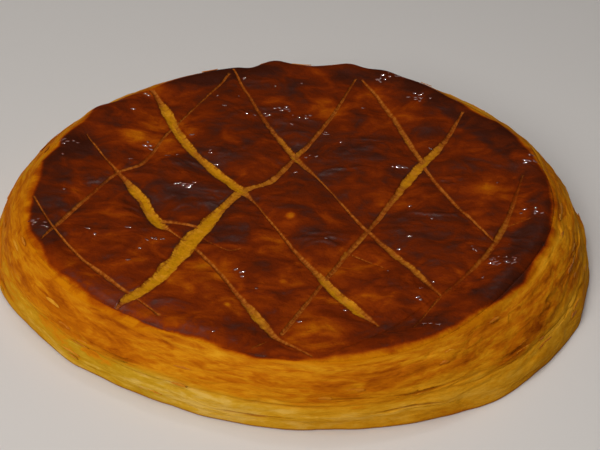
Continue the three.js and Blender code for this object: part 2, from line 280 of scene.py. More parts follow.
# Flakes: points along and up each sheet, thickness, and the range of each measure that varies.
FLAKE_GRID = (9, 4)
FLAKE_THICKNESS = 0.16
FLAKE_LENGTH = (4, 12)
FLAKE_TALL = (0.8, 1.6)
FLAKE_CURL = (0.05, 0.4)
FLAKE_LIFT = (-0.1, 0.2)
FLAKE_TIP = (0.4, 0.8)

# Camera: where it stands, what it looks at, how far it is rolled, and its lens on a 36 mm sensor.
CAMERA_PLACE = (2.3, -550.0, 385.4)
CAMERA_TARGET = (2.3, -31.9, 28.9)
CAMERA_ROLL = 2.69
CAMERA_LENS = 84.0
SENSOR_WIDTH = 36.0
CLIP_START = 0.01
CLIP_END = 20

# Lights, in metres: (name, setting of its power, place, width and height, colour, whether it lights the
# cake or only glints on it), and the place that each is turned to.
LIGHTS = (
    ("key", "key_power", (-0.65, -1.1, 1.0), (1.0, 1.0), (1.0, 0.96, 0.9), True),
    ("ceiling", "top_power", (-0.05, 0.0, 1.6), (1.4, 1.4), (1.0, 0.97, 0.94), True),
    ("window", "window_power", (-0.15, 0.87, 1.16), (1.5, 0.32), (1.0, 0.95, 0.96), False),
    ("lamp", "lamp_power", (0.05, 0.42, 1.15), (0.08, 0.08), (1.0, 0.97, 0.95), False),
)
LIT_POINT = (0, 0, 0.02)
ROOM_COLOUR = (0.93, 0.95, 1.0)
FLOOR_HALF = 8000.0
FLOOR_LEVEL = -0.3


# ---------------------------------------------------------------------------------------------------
# Numbers that vary smoothly over a surface


def lattice(i, j, seed):
    """A fixed number from -1 to 1 for each whole place (i, j)."""
    mixed = (i * 374761393 + j * 668265263 + seed * 982451653) & 0xFFFFFFFF
    mixed = ((mixed ^ (mixed >> 13)) * 1274126177) & 0xFFFFFFFF
    return ((mixed ^ (mixed >> 16)) & 0xFFFF) / 32767.5 - 1


def noise(u, v, seed, around=0):
    """Smooth noise from -1 to 1. It repeats after around units of u, if that is given."""
    u, v = np.broadcast_arrays(u, v)
    i, j = np.floor(u).astype(np.int64), np.floor(v).astype(np.int64)
    a, b = u - i, v - j
    a, b = a * a * (3 - 2 * a), b * b * (3 - 2 * b)
    k = i + 1
    if around:
        i, k = i % around, k % around
    low = lattice(i, j, seed) * (1 - a) + lattice(k, j, seed) * a
    high = lattice(i, j + 1, seed) * (1 - a) + lattice(k, j + 1, seed) * a
    return low * (1 - b) + high * b


def fractal(u, v, seed, octaves=3, around=0):
    """Noise with finer noise on it, each octave half as high and half as wide."""
    total, height = 0.0, 1.0
    for octave in range(octaves):
        size = 2 ** octave
        total = total + height * noise(u * size, v * size, seed + octave, around * size)
        height /= 2
    return total / (2 - 2 * height)


def ease(value, low, high):
    """0 below low, 1 above high and smooth between."""
    share = np.clip((value - low) / (high - low), 0, 1)
    return share * share * (3 - 2 * share)


def hump(away, half):
    """1 at no distance away and 0 at half and beyond, as a parabola."""
    return np.maximum(0, 1 - (away / half) ** 2)


def bell(away, reach):
    """1 at no distance away, about a third at reach, and fading out beyond it."""
    return np.exp(-((away / reach) ** 2))


def ring_noise(bearing, count, across, seed, octaves=3):
    """Fractal noise that joins up going round, with about count features in a turn."""
    return fractal(bearing / TAU * count, across, seed, octaves, count)


def turn_from(bearing, degrees):
    """How far bearings in radians are from one in degrees, in degrees from -180 to 180."""
    return (np.degrees(bearing) - degrees + 180) % 360 - 180


def wave(angle, key):
    """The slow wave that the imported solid's top has."""
    return sum(share * np.cos(crests * angle + WAVE_TURN * key * crests) for crests, share in WAVES)


def lobed(bearing, radius, lobes):
    """The radius of a ring at each bearing in radians."""
    return radius + sum(swell * np.cos(count * (bearing - math.radians(at))) for count, swell, at in lobes)


def edge_shift(bearing, away):
    """How far out and up the surface stands from its smooth form, by how far away the glazed edge is."""
    out = 0.5 * ring_noise(bearing, 36, 0.5, 61)
    up = 0.35 * ring_noise(bearing, 30, 0.5, 65, 2)
    for at, half, rise, push in EDGE_SWELLS:
        swell = bell(turn_from(bearing, at), half)
        out = out + push * swell
        up = up + rise * swell
    carried = bell(away, SWELL_REACH)
    return out * carried, up * carried - EDGE_DROP * bell(away, EDGE_ROUND)


def foot_shift(bearing, level):
    """How far the foot of the wall stands out from its smooth form."""
    out = 0.35 * ring_noise(bearing, 58, 0.5, 67)
    for at, half, push in FOOT_SWELLS:
        out = out + push * bell(turn_from(bearing, at), half)
    return out * bell(level, FOOT_REACH)


def going_round(bearing, table, column):
    """A column of a table of bearings, read at each bearing in radians."""
    table = np.array(table, float)
    return np.interp(np.degrees(bearing), table[:, 0], table[:, column], period=360)


def wash_depth(bearing, inward):
    """How far inside the egg wash's own edge a place is, from how far it is inside the edge ring."""
    return inward - going_round(bearing, WASH_EDGE, 1) - 1.3 * ring_noise(bearing, 44, 0.5, 71)


# ---------------------------------------------------------------------------------------------------
# The wall


def wall_profile(bearing, level):
    """The smooth wall: distance out, height, and the two parts of its outward normal."""
    swell = 4 * level * (1 - level)
    base = lobed(bearing, BASE_RADIUS, BASE_LOBES)
    edge = lobed(bearing, EDGE_RADIUS, EDGE_LOBES)
    slope_out = edge - base + 4 * BULGE_OUT * (1 - 2 * level)
    slope_up = EDGE_HEIGHT + 4 * BULGE_UP * (1 - 2 * level)
    slope = np.hypot(slope_out, slope_up)
    out = base + (edge - base) * level + BULGE_OUT * swell - FOOT_INSET * np.exp(-level / FOOT_LEVEL)
    height = EDGE_HEIGHT * level + BULGE_UP * swell
    push, lift = edge_shift(bearing, (1 - level) * WALL_ARC)
    out = out + push + foot_shift(bearing, level)
    return out, height + lift, slope_up / slope, -slope_out / slope


def wall_place(bearing, level, relief):
    """Points of the wall, relief in front of its smooth form."""
    out, height, normal_out, normal_up = wall_profile(bearing, level)
    out = out + relief * normal_out
    height = height + relief * normal_up
    x = out * np.cos(bearing) + BASE_CENTRE[0] + (EDGE_CENTRE[0] - BASE_CENTRE[0]) * level
    y = out * np.sin(bearing) + BASE_CENTRE[1] + (EDGE_CENTRE[1] - BASE_CENTRE[1]) * level
    return np.stack([x, y, np.maximum(height, 0)], -1)


def between(bearing, start, end):
    """1 midway between two bearings in degrees, and 0 at them and beyond."""
    return hump(turn_from(bearing, (start + end) / 2), (end - start) / 2)


def pastry_relief(bearing, leaf, flaky, size):
    """How far the dough puffed, and how far its leaves stand out or lie back."""
    # The dough puffed in long swells and short pillows.
    puff = size.puff_relief / MM * ring_noise(bearing, 17, leaf * 0.13, 27, 2)
    pillow = size.pillow_relief / MM * flaky * ring_noise(bearing, 62, leaf * 0.38, 23)
    # Broad leaves lie over one another like shingles, some with the upper edge proud and some the lower.
    drift = 1.1 * ring_noise(bearing, 17, leaf * 0.2, 47) + 0.25 * ring_noise(bearing, 90, leaf * 0.5, 51, 2)
    shingle = leaf * SHINGLES + drift
    which = np.floor(shingle)
    hold = np.clip(1.6 * ring_noise(bearing, 34, which * 3.7, 49), -1, 1)
    return puff + pillow + size.leaf_relief / MM * flaky * hold * (2 * (shingle - which) - 1)


def open_slits(bearing, leaf, count):
    """What the slits do at each leaf: how far they push it aside, how deep they go and how open they are,
    which sets the painted shade in them.
    """
    aside, depth, gap = np.zeros((3, *leaf.shape))
    joint = np.round(leaf)
    side = np.where(leaf >= joint, 1, -1)
    for start, end, level, gape, deep in SLITS:
        at = np.round(level * count)
        opened = between(bearing, start, end) * (1 + 0.3 * ring_noise(bearing, 300, level * 50, 41, 1))
        beyond = np.abs(leaf - at) > 0.05
        aside += side * beyond * bell(leaf - at, 0.9) * opened * gape / 2 * count / WALL_ARC
        depth += (joint == at) * opened * deep
        gap = np.maximum(gap, (joint == at) * opened)
    return aside, depth, gap


def wall_leaves(bearing, leaf, size):
    """The level and relief of the wall at each bearing and leaf, counted from the base up, and how much
    painted shade its open cracks, slits and creases get.
    """
    count = size.leaves
    share = leaf / count
    held = np.minimum(1, END_FADE * np.sin(np.pi * share)) * ease(1 - share, 0, 0.16)
    wander = 1.1 * ring_noise(bearing, 11, leaf * 0.24, 11, 2)
    wander = wander + 0.5 * ring_noise(bearing, 52, leaf * 0.5, 13, 2)
    joint = np.round(leaf)
    crease = bell(leaf - joint, 0.13)
    # The right of the cake baked flakier.
    flaky = 1 + 0.7 * bell(turn_from(bearing, -22), 45)
    relief = pastry_relief(bearing, leaf, flaky, size)
    # Soft creases wander between the leaves, part and run out.
    bend = 0.4 * ring_noise(bearing, 60, leaf * 0.6, 53, 1)
    crossing = fractal(bearing / TAU * 27 + bend, leaf * 0.46, 55, 2, 27)
    folded = bell(crossing, 0.13) * ease(ring_noise(bearing, 33, leaf * 0.4, 57, 1), -0.5, 0.5)
    relief = relief - 0.42 * flaky * folded
    # The joints between leaves are cracked here and there, and the main seam all round.
    depth = 0.3 * ease(ring_noise(bearing, 46, joint * 3.9, 31, 2), 0.2, 0.8) * flaky
    seam = 0.15 + 0.6 * ease(ring_noise(bearing, 22, 3.5, 35, 1), -0.3, 0.6)
    depth = depth + (joint == np.round(SEAM_SHARE * count)) * seam
    # Painted shade: the deeper the crack between leaves, and the soft creases, the darker the colour is
    # painted there.
    gap = np.clip(depth / 1.6 + 0.3 * folded, 0, 0.5)
    aside, slit_depth, slit_gap_shade = open_slits(bearing, leaf, count)
    gap = np.maximum(gap, slit_gap_shade)
    for start, end, level, proud in PROUD_LEAVES:
        relief = relief + proud * between(bearing, start, end) * bell(leaf - level * count, 0.7)
    in_band = np.where(share < SEAM_SHARE, share / SEAM_SHARE, (share - SEAM_SHARE) / (1 - SEAM_SHARE))
    relief = relief + BAND_SWELL * (np.sin(np.pi * in_band) - 2 / np.pi)
    relief = (relief - (depth + slit_depth) * crease) * held
    # The lowest leaves end unevenly on the baking sheet.
    relief = relief + 0.9 * ring_noise(bearing, 34, 0.5, 45) * bell(leaf, 0.9)
    level = np.clip((leaf + (wander + aside) * held) / count, 0, 1)
    return level, relief, gap * np.maximum(crease, folded) * held


def bearings(count):
    """That many bearings in radians, evenly spaced round a turn."""
    return TAU * np.arange(count) / count


def ring_faces(low, high, count):
    """Quads, as triangles, between two rings of vertices that start at low and high."""
    here = np.arange(count)
    after = (here + 1) % count
    return np.concatenate([np.stack([low + here, low + after, high + after], 1),
                           np.stack([low + here, high + after, high + here], 1)])


def fan_faces(ring, centre, count, upwards):
    """Triangles from a ring to one vertex in its middle."""
    here = np.arange(count)
    after = (here + 1) % count
    order = (ring + here, ring + after) if upwards else (ring + after, ring + here)
    return np.stack([*order, np.full(count, centre)], 1)


def wall_maps(bearing, leaf, level, points):
    """The fields of the wall's finish: how far the oven baked it darker, with painted light that makes one
    place paler, how pale it stayed, how far egg wash covers it, and how dark and how shiny that is."""
    browned = np.zeros_like(level)
    for at, half, middle, tall, amount in WALL_BROWNING_AND_LIGHT:
        away = (turn_from(bearing, at) / half) ** 2 + ((level - middle) / tall) ** 2
        browned = browned + (1 - browned) * amount * np.exp(-away)
    # It is pale below the seam, most so at the near left, and at the far left nearly all the way up.
    seam = SEAM_SHARE + 0.05 + 0.05 * ring_noise(bearing, 40, leaf * 0.4, 77, 2)
    below = ease(seam - level, -0.05, 0.1) * (0.12 + 0.78 * bell(turn_from(bearing, -120), 40))
    left = 0.95 * bell(turn_from(bearing, 178), 26) * (1 - 0.45 * ease(level, 0.3, 0.75))
    down = (1 - level) * WALL_ARC
    along_leaf = np.minimum(1, down / 3) * 1.6 * ring_noise(bearing, 50, leaf * 0.8, 75, 2)
    depth = wash_depth(bearing, -down) + along_leaf
    uncut = np.full_like(level, -CUT_REACH)
    return {
        "browned": browned,
        "pallor": np.maximum(below, left),
        "covered": ease(depth + going_round(bearing, WASH_EDGE, 2), -1, 2),
        "tone": glaze_tone(points[..., 0], points[..., 1], bearing, depth, uncut, uncut),
        "shine": glaze_shine(bearing, np.zeros_like(level)),
    }


def crust_mesh(size):
    """The crust: leafy wall, flat underside, and a hidden shelf that the glazed top lies on. The last
    number given is how many of the faces are the wall's."""
    rows = size.leaves * ROWS_PER_LEAF + 1
    bearing, leaf = np.meshgrid(bearings(COLUMNS), np.arange(rows) / ROWS_PER_LEAF)
    level, relief, gap = wall_leaves(bearing, leaf, size)
    wall = wall_place(bearing, level, relief)
    wall[0, :, 2] = 0
    shelf = wall[-1] * (SHELF_SHARE, SHELF_SHARE, 0)
    shelf[:, 2] = SHELF_HEIGHT
    middles = [(*BASE_CENTRE, 0), (*EDGE_CENTRE, SHELF_HEIGHT)]
    points = np.concatenate([wall.reshape(-1, 3), shelf, middles])
    top_ring, shelf_ring = (rows - 1) * COLUMNS, rows * COLUMNS
    foot, middle = len(points) - 2, len(points) - 1
    faces = np.concatenate([
        *(ring_faces(row * COLUMNS, (row + 1) * COLUMNS, COLUMNS) for row in range(rows)),
        fan_faces(0, foot, COLUMNS, upwards=False),
        fan_faces(shelf_ring, middle, COLUMNS, upwards=True),
    ])

    def padded(values):
        return np.concatenate([values.ravel(), np.zeros(COLUMNS + 2)])

    fields = {"level": level, "gap": gap, **wall_maps(bearing, leaf, level, wall)}
    fields = {name: padded(values) for name, values in fields.items()}
    fields["grain"] = np.stack([points[:, 0], points[:, 1], padded(leaf) * LEAF_SPREAD], 1)
    layout = crust_map(points, faces, padded(leaf / size.leaves), shelf_ring, top_ring)
    return points, faces, fields, layout, 2 * top_ring


def at_spot(plan, spot):
    """Places on the plan, about 1 across, at a spot of a flat map."""
    size, across, up = spot
    return plan * size + (across, up)


def crust_map(points, faces, share, shelf_ring, top_ring):
    """The crust's flat map, a place for each face corner: the wall in its strips, then the discs."""
    column = faces % COLUMNS
    first = column.min(1, keepdims=True)
    wrapped = (column.max(1, keepdims=True) - first > 1) & (faces.max(1, keepdims=True) < shelf_ring)
    first = np.where(wrapped, COLUMNS - 1, first)
    ahead = (column - first) % COLUMNS
    strip = first * WALL_STRIPS // COLUMNS
    along = (first - strip * COLUMNS // WALL_STRIPS + ahead) * WALL_STRIPS / COLUMNS
    up = (strip * (STRIP_TALL + STRIP_GAP)) + STRIP_GAP / 2 + share[faces] * STRIP_TALL
    flat = np.stack([STRIP_GAP + (1 - 2 * STRIP_GAP) * along, up], -1)
    plan = points[faces][..., :2] / (2 * BASE_RADIUS)
    highest, lowest = faces.max(1), faces.min(1)
    underside = highest == len(points) - 2
    shelf = (highest >= shelf_ring) & ~underside
    skirt = shelf & (lowest < shelf_ring) & (lowest >= top_ring)
    for disc, spot in ((underside, UNDERSIDE_SPOT), (shelf, SHELF_SPOT), (skirt, SKIRT_SPOT)):
        flat[disc] = at_spot(plan[disc], spot)
    return flat


# ---------------------------------------------------------------------------------------------------
# The glazed top


class Cut:
    """A knife cut: its path over the top and how far each of its lips gapes."""

    def __init__(self, stations, seed):
        self.seed = seed
        path = smooth_path(stations)
        self.place = path[:, :2]
        self.width = np.maximum(path[:, 2], 2 * NARROWEST_HALF)
        steps = np.diff(self.place, axis=0)
        self.length = np.hypot(*steps.T)
        self.ahead = steps / self.length[:, None]
        self.along = np.concatenate([[0], np.cumsum(self.length)])

    def half(self, along, side):
        """Half the gape on one side (-1 or 1), with the lip's torn edge."""
        width = np.interp(along, self.along, self.width)
        key = self.seed + 3 * (side > 0)
        torn = 0.46 * fractal(along / 9, key * 9.1, 81, 4) * width / 2
        fine = 0.32 * fractal(along / 1.5, key * 7.7, 85, 2) * np.minimum(1, width / 3.5)
        return np.maximum(width / 2 + torn + fine, NARROWEST_HALF)

    def lines(self):
        """Points on the cut's floor and lips and just outside them."""
        step = WIDE_CUT_STEP if self.width.max() > WIDE_CUT else NARROW_CUT_STEP
        along = np.arange(0, self.along[-1], step)
        centre = np.stack([np.interp(along, self.along, self.place[:, k]) for k in (0, 1)], 1)
        ahead = np.gradient(centre, axis=0)
        ahead /= np.hypot(*ahead.T)[:, None]
        across = np.stack([-ahead[:, 1], ahead[:, 0]], 1)
        half = {side: self.half(along, side) for side in (1, -1)}
        found = [centre]
        for share, least in CUT_LINES:
            for side in (1, -1):
                line = centre + across * (side * share * half[side])[:, None]
                found.append(line[half[side] > least])
        for side in (-1, 1):
            for beyond in LIP_LINES:
                found.append(centre + across * (side * (half[side] + beyond))[:, None])
        return found

    def measure(self, x, y, found):
        """Keeps in found, for each place, how far inside a lip it is, wherever this cut has the most."""
        for index, (start, ahead) in enumerate(zip(self.place, self.ahead)):
            length = self.length[index]
            middle = start + ahead * length / 2
            reach = CUT_REACH + length
            near = np.nonzero((np.abs(x - middle[0]) < reach) & (np.abs(y - middle[1]) < reach))[0]
            if not len(near):
                continue
            dx, dy = x[near] - start[0], y[near] - start[1]
            forward = np.clip(dx * ahead[0] + dy * ahead[1], 0, length)
            gone = np.hypot(dx - forward * ahead[0], dy - forward * ahead[1])
            side = np.where(ahead[0] * dy - ahead[1] * dx >= 0, 1, -1)
            along = self.along[index] + forward
            half = self.half(along, side)
            inside = half - gone
            better = inside > found["inside"][near]
            kept = near[better]
            found["inside"][kept] = inside[better]
            found["half"][kept] = half[better]
            found["across"][kept] = (side * gone / half)[better]
            found["along"][kept] = along[better] + CUT_APART * self.seed
            found["bare"][kept] = BARENESS.get(self.seed, 1.0)


def smooth_path(stations):
    """Stations (x, y, width) joined by a centripetal Catmull-Rom curve, with a point about each CUT_STEP."""
    points = np.array(stations, float)
    points = np.vstack([2 * points[0] - points[1], points, 2 * points[-1] - points[-2]])
    found = []
    for before, start, end, after in zip(points, points[1:], points[2:], points[3:]):
        gaps = [np.linalg.norm(b - a) ** 0.5 for a, b in ((before, start), (start, end), (end, after))]
        leave = ((start - before) / gaps[0] - (end - before) / (gaps[0] + gaps[1])
                 + (end - start) / gaps[1]) * gaps[1]
        arrive = ((end - start) / gaps[1] - (after - start) / (gaps[1] + gaps[2])
                  + (after - end) / gaps[2]) * gaps[1]
        count = max(1, round(np.linalg.norm((end - start)[:2]) / CUT_STEP))
        t = (np.arange(count) / count)[:, None]
        found.append(start + leave * t + (3 * (end - start) - 2 * leave - arrive) * t ** 2
                     + (2 * (start - end) + leave + arrive) * t ** 3)
    return np.vstack([*found, points[-2:-1]])


def all_cuts():
    return [Cut(stations, seed) for seed, stations in enumerate(SCORES + NICKS)]


def cut_fields(x, y, cuts):
    """How far inside the nearest cut's lip each place is, and where it is in that cut."""
    found = {
        "inside": np.full(x.shape, -CUT_REACH),
        "half": np.full(x.shape, NARROWEST_HALF),
        "across": np.ones(x.shape),
        "along": np.zeros(x.shape),
        "bare": np.zeros(x.shape),
    }
    for cut in cuts:
        cut.measure(x, y, found)
    return found


def top_reach(x, y):
    """The bearing of each place on the top, and its reach: 0 in the middle and 1 at the glazed edge."""
    dx, dy = x - EDGE_CENTRE[0], y - EDGE_CENTRE[1]
    bearing = np.arctan2(dy, dx)
    return bearing, np.hypot(dx, dy) / lobed(bearing, EDGE_RADIUS, EDGE_LOBES)


def smooth_top(x, y, reach):
    """The height of the top before it is cut: a dish with a rounded rim, in slow waves."""
    dish = np.maximum(0, 1 - reach ** 2)
    inner_rim = bell(reach - RIM_PLACE, RIM_WIDTH)
    outer_rim = 1 - np.clip((reach - RIM_PLACE) / (1 - RIM_PLACE), 0, 1) ** RIM_ROUND
    rim = RIM_RISE * np.where(reach < RIM_PLACE, inner_rim, outer_rim)
    puff = wave(TAU * x / PUFF_PITCH, 1) * wave(TAU * y / PUFF_PITCH, 2)
    return EDGE_HEIGHT + rim - DISH_DEPTH * dish + PUFF_HEIGHT * puff * np.minimum(1, PUFF_FADE * dish)


def skin_relief(x, y, reach, inside, size):
    """How far the dough puffed between the cuts, in lumps, with the wrinkles that its skin drew into, and
    how dark the crests of those baked."""
    inner = ease(1 - reach, 0.0, 0.05)
    pillow = 1 - bell(np.maximum(0, -inside), 7)
    lumps = fractal(x / 26, y / 19, 91, 2) + 0.45 * fractal(x / 11, y / 7, 95, 2)
    rise = inner * (size.pillow_height / MM * (pillow - 0.5) + size.lump_height / MM * lumps)
    bend_x = 0.9 * fractal(x / 19, y / 13, 101, 2)
    bend_y = 1.3 * fractal(x / 21, y / 14, 103, 2)
    fold = 1 - 2 * np.abs(fractal(x / 24 + bend_x, y / 8.5 + bend_y, 99, 2))
    crinkle = 1 - 2 * np.abs(fractal(x / 8.5 + bend_x, y / 2.8 + 1.4 * bend_y, 105, 3))
    strength = ease(fractal(x / 24 + 7, y / 14, 109, 2), -0.35, 0.45)
    off_cut = ease(-inside, 0.2, 2.0) * (0.3 + 0.7 * ease(1 - reach, 0.03, 0.16)) * inner
    rise += off_cut * size.fold_height / MM * np.maximum(0, fold) ** 1.5 * (0.5 + strength)
    rise += off_cut * size.wrinkle_height / MM * crinkle * (0.3 + 0.9 * strength)
    return rise, 0.16 * strength * inner * np.maximum(0, crinkle) ** 4


def cut_relief(inside, half, across, along, size):
    """How far the lips of the cuts stand up and their torn floors lie down."""
    lips = 0.14 * bell(inside + 0.5, 0.6) * np.minimum(1, half / 0.8)
    # In a wide cut leaves stretched and parted, so that it goes down in steps.
    wide = ease(half, 0.8, 2.2)
    torn = np.clip(inside / half + 0.2 * fractal(along / 5, across * 1.3, 115, 3) * wide, 0, 1)
    stepped = 0.55 * ease(torn, 0.0, 0.2) + 0.25 * ease(torn, 0.32, 0.46) + 0.2 * ease(torn, 0.62, 0.8)
    plain = ease(inside, -0.05, np.minimum(0.85, 0.8 * half))
    opened = np.where(inside > -0.05, plain + (stepped - plain) * wide, 0)
    pulled = along / 1.7 + 0.8 * noise(along / 7, across * 1.5, 119)
    ridges = 0.35 * noise(pulled, across * 0.7, 111) + 0.65 * fractal(along / 4.6, across * 1.4, 113, 3)
    floor = ease(inside, 0.2, 1.0) * wide * 0.28 * ridges
    return lips - opened * size.cut_depth / MM * (0.65 + 0.12 * half) + floor


def cut_bareness(inside, half, along, bare):
    """How bare the pastry is at each place, where bare says it for the cut as a whole."""
    faded = 0.55 + 0.45 * ease(fractal(along / 13, half * 0.1, 117, 2), -0.35, 0.25)
    soft = np.maximum(0.1, 0.6 - 0.3 * half)
    shown = ease(inside, -soft, np.minimum(0.3, 0.4 * half))
    return bare * np.maximum(faded, ease(half, 0.9, 1.7)) * shown


def top_places(x, y, cuts, size):
    """Points of the glazed surface above places on the plan, and the fields its finish reads."""
    bearing, reach = top_reach(x, y)
    inside, half, across, along, bare = cut_fields(x, y, cuts).values()
    rise, crests = skin_relief(x, y, reach, inside, size)
    inward = np.maximum(0, 1 - reach) * EDGE_RADIUS
    push, lift = edge_shift(bearing, inward)
    z = smooth_top(x, y, reach) + rise + cut_relief(inside, half, across, along, size) + lift
    fields = {
        "bare": cut_bareness(inside, half, along, bare),
        "half": half,
        "across": np.abs(across),
        "tone": glaze_tone(x, y, bearing, wash_depth(bearing, inward), inside, half) + crests,
        "shine": glaze_shine(bearing, inward),
        "grain": np.stack([along, across * half, np.zeros(x.shape)], 1),
    }
    return np.stack([x + push * np.cos(bearing), y + push * np.sin(bearing), z], 1), fields


def glaze_tone(x, y, bearing, depth, inside, half):
    """How dark the egg wash baked, with painted shade just outside the lips of the wide cuts: 1 where it is
    nearly black, 0 where it glows orange and PASTRY_TONE where it has thinned out to bare pastry. depth is
    how far inside the egg wash's edge a place is."""
    bend = 5 * fractal(x / 17, y / 12, 121, 2)
    tone = 0.45 + 0.13 * fractal(x / 30, y / 18, 123, 2) + 0.28 * fractal(x / 13 + 3, y / 8, 127, 3)
    for at_x, at_y, radius, amount in GLAZE_BROWNING:
        away = ((x - at_x + bend) / (1.25 * radius)) ** 2 + ((y - at_y - 0.4 * bend) / (0.85 * radius)) ** 2
        tone = tone + amount * np.exp(-away)
    for at_x, at_y, radius, amount in PALE_SPOTS:
        tone = tone - amount * bell((x - at_x) ** 2 + (y - at_y) ** 2, radius ** 2)
    # Painted shade: the glaze is painted darker just outside the lips of the wide cuts, as the shaded edge of
    # each lip.
    tone = tone + 0.16 * bell(inside + 0.5, 0.5) * ease(half, 0.9, 2.0)
    broad = going_round(bearing, RIM_BROWNING, 2) + 2.5 * fractal(x / 8, y / 6, 131, 2)
    rim = going_round(bearing, RIM_BROWNING, 1) * ease(-depth, -broad - 4, -broad + 1)
    for at, stretch, amount in EDGE_LINES:
        rim = rim + amount * hump(turn_from(bearing, at), stretch) * bell(depth - 0.7, 1.1)
    # Most of the egg wash ends in a short slope, and a thin film runs on.
    fade = going_round(bearing, WASH_EDGE, 2)
    thinned = 0.6 * ease(-depth, -0.7, 0.9) + 0.4 * ease(-depth, -1.2, fade)
    return tone + rim + (PASTRY_TONE - tone - rim) * thinned


def glaze_shine(bearing, inward):
    """How much of its gloss the egg wash kept: it baked dull along the rim, least so on the near side."""
    dull = 0.35 + 0.6 * ease(np.sin(bearing - math.radians(12)), -0.5, 0.1)
    right = bell(turn_from(bearing, -20), 40) * ease(-inward, -60, -20)
    near = bell(turn_from(bearing, -124), 46) * ease(-inward, -34, -8)
    return (0.65 + 0.35 * right) * (1 - dull * ease(-inward, -22, -11)) + 0.9 * near


def glaze_plan(cuts):
    """Places on the plan for the glazed surface: first the edge ring, then the cuts, then a grid."""
    bearing = bearings(COLUMNS)
    radius = lobed(bearing, EDGE_RADIUS, EDGE_LOBES)
    ring = np.stack([radius * np.cos(bearing) + EDGE_CENTRE[0], radius * np.sin(bearing) + EDGE_CENTRE[1]], 1)
    lines = np.concatenate([line for cut in cuts for line in cut.lines()])
    farthest = 1 - RING_CLEARANCE / EDGE_RADIUS
    lines = lines[top_reach(*lines.T)[1] < farthest]
    across = int(2 * GRID_HALF / GRID_PITCH)
    i, j = np.meshgrid(np.arange(across), np.arange(int(across / ROW_SHARE)))
    x = ((i + 0.5 * (j % 2)) * GRID_PITCH - GRID_HALF).ravel()
    y = (j * GRID_PITCH * ROW_SHARE - GRID_HALF).ravel()
    x, y = x + GRID_STRAY * noise(x * 3, y * 3, 141), y + GRID_STRAY * noise(x * 3, y * 3, 143)
    kept = top_reach(x, y)[1] < farthest
    x, y = x[kept], y[kept]
    kept = cut_fields(x, y, cuts)["inside"] < -LIP_CLEARANCE
    places = np.concatenate([ring, lines, np.stack([x[kept], y[kept]], 1)])
    # Of places that all but meet, one is kept, and the whole ring always.
    cells = np.floor(places / THINNING).astype(np.int64)
    first = np.unique(cells, axis=0, return_index=True)[1]
    return places[np.union1d(first, np.arange(COLUMNS))]


def glaze_mesh(size):
    """The glazed top as a thin closed slab, cut surface above and flat below. The last number given is
    how many of the faces are the surface's."""
    cuts = all_cuts()
    plan = glaze_plan(cuts)
    flat, _, triangles, *_ = delaunay_2d_cdt([Vector(place) for place in plan.tolist()], [], [], 0, 1e-6)
    plan = np.array([place[:] for place in flat])
    triangles = np.array([tuple(face) for face in triangles])
    top, fields = top_places(plan[:, 0], plan[:, 1], cuts, size)
    ring = top[:COLUMNS]
    waist = ring * (WAIST_SHARE, WAIST_SHARE, 1) - (0, 0, WAIST_DROP)
    floor = ring * (FLOOR_SHARE, FLOOR_SHARE, 0) + (0, 0, SLAB_FLOOR)
    points = np.concatenate([top, waist, floor, [(*EDGE_CENTRE, SLAB_FLOOR)]])
    waist_ring, floor_ring = len(top), len(top) + COLUMNS
    faces = np.concatenate([
        triangles,
        ring_faces(waist_ring, 0, COLUMNS),
        ring_faces(floor_ring, waist_ring, COLUMNS),
        fan_faces(floor_ring, len(points) - 1, COLUMNS, upwards=False),
    ])
    hidden_values = {"bare": 0, "half": NARROWEST_HALF, "across": 1, "tone": 0.2, "shine": 0, "grain": 0}
    for name, values in fields.items():
        rest = np.full((2 * COLUMNS + 1, *values.shape[1:]), hidden_values[name], float)
        fields[name] = np.concatenate([values, rest])
    # The flat map: the top as seen from above, and the hidden faces small in a corner.
    places = points[faces][..., :2] / (2 * GRID_HALF)
    hidden = faces.max(1) >= waist_ring
    layout = at_spot(places, GLAZE_SPOT)
    layout[hidden] = at_spot(places[hidden], HIDDEN_SPOT)
    return points, faces, fields, layout, len(triangles)


# ---------------------------------------------------------------------------------------------------
# Flakes and blisters


def shard(columns, rows):
    """Faces of a thin closed shard: an upper and a lower sheet of columns by rows points, and its rim."""
    sheet = columns * rows
    faces = []
    for c in range(columns - 1):
        for a in range(c * rows, (c + 1) * rows - 1):
            b = a + rows
            faces += [(a, b, b + 1), (a, b + 1, a + 1)]
            faces += [(sheet + a, sheet + b + 1, sheet + b), (sheet + a, sheet + a + 1, sheet + b + 1)]
    rim = [c * rows for c in range(columns)]
    rim += [(columns - 1) * rows + r for r in range(1, rows)]
    rim += [c * rows + rows - 1 for c in range(columns - 2, -1, -1)]
    rim += [r for r in range(rows - 2, 0, -1)]
    for a, b in zip(rim, rim[1:] + rim[:1]):
        faces += [(a, sheet + a, sheet + b), (a, sheet + b, b)]
    return np.array(faces)


def dome(rings, spokes):
    """Faces of a closed dome: rings of spokes points going up, its top, and a point below its middle."""
    top = rings * spokes
    sides = [ring_faces(ring * spokes, (ring + 1) * spokes, spokes) for ring in range(rings - 1)]
    cap = fan_faces(top - spokes, top, spokes, upwards=True)
    return np.concatenate([*sides, cap, fan_faces(0, top + 1, spokes, upwards=False)])


def repeated(faces, copies):
    """The faces of like meshes whose points follow one another."""
    return np.concatenate([faces + copy * (faces.max() + 1) for copy in range(copies)])


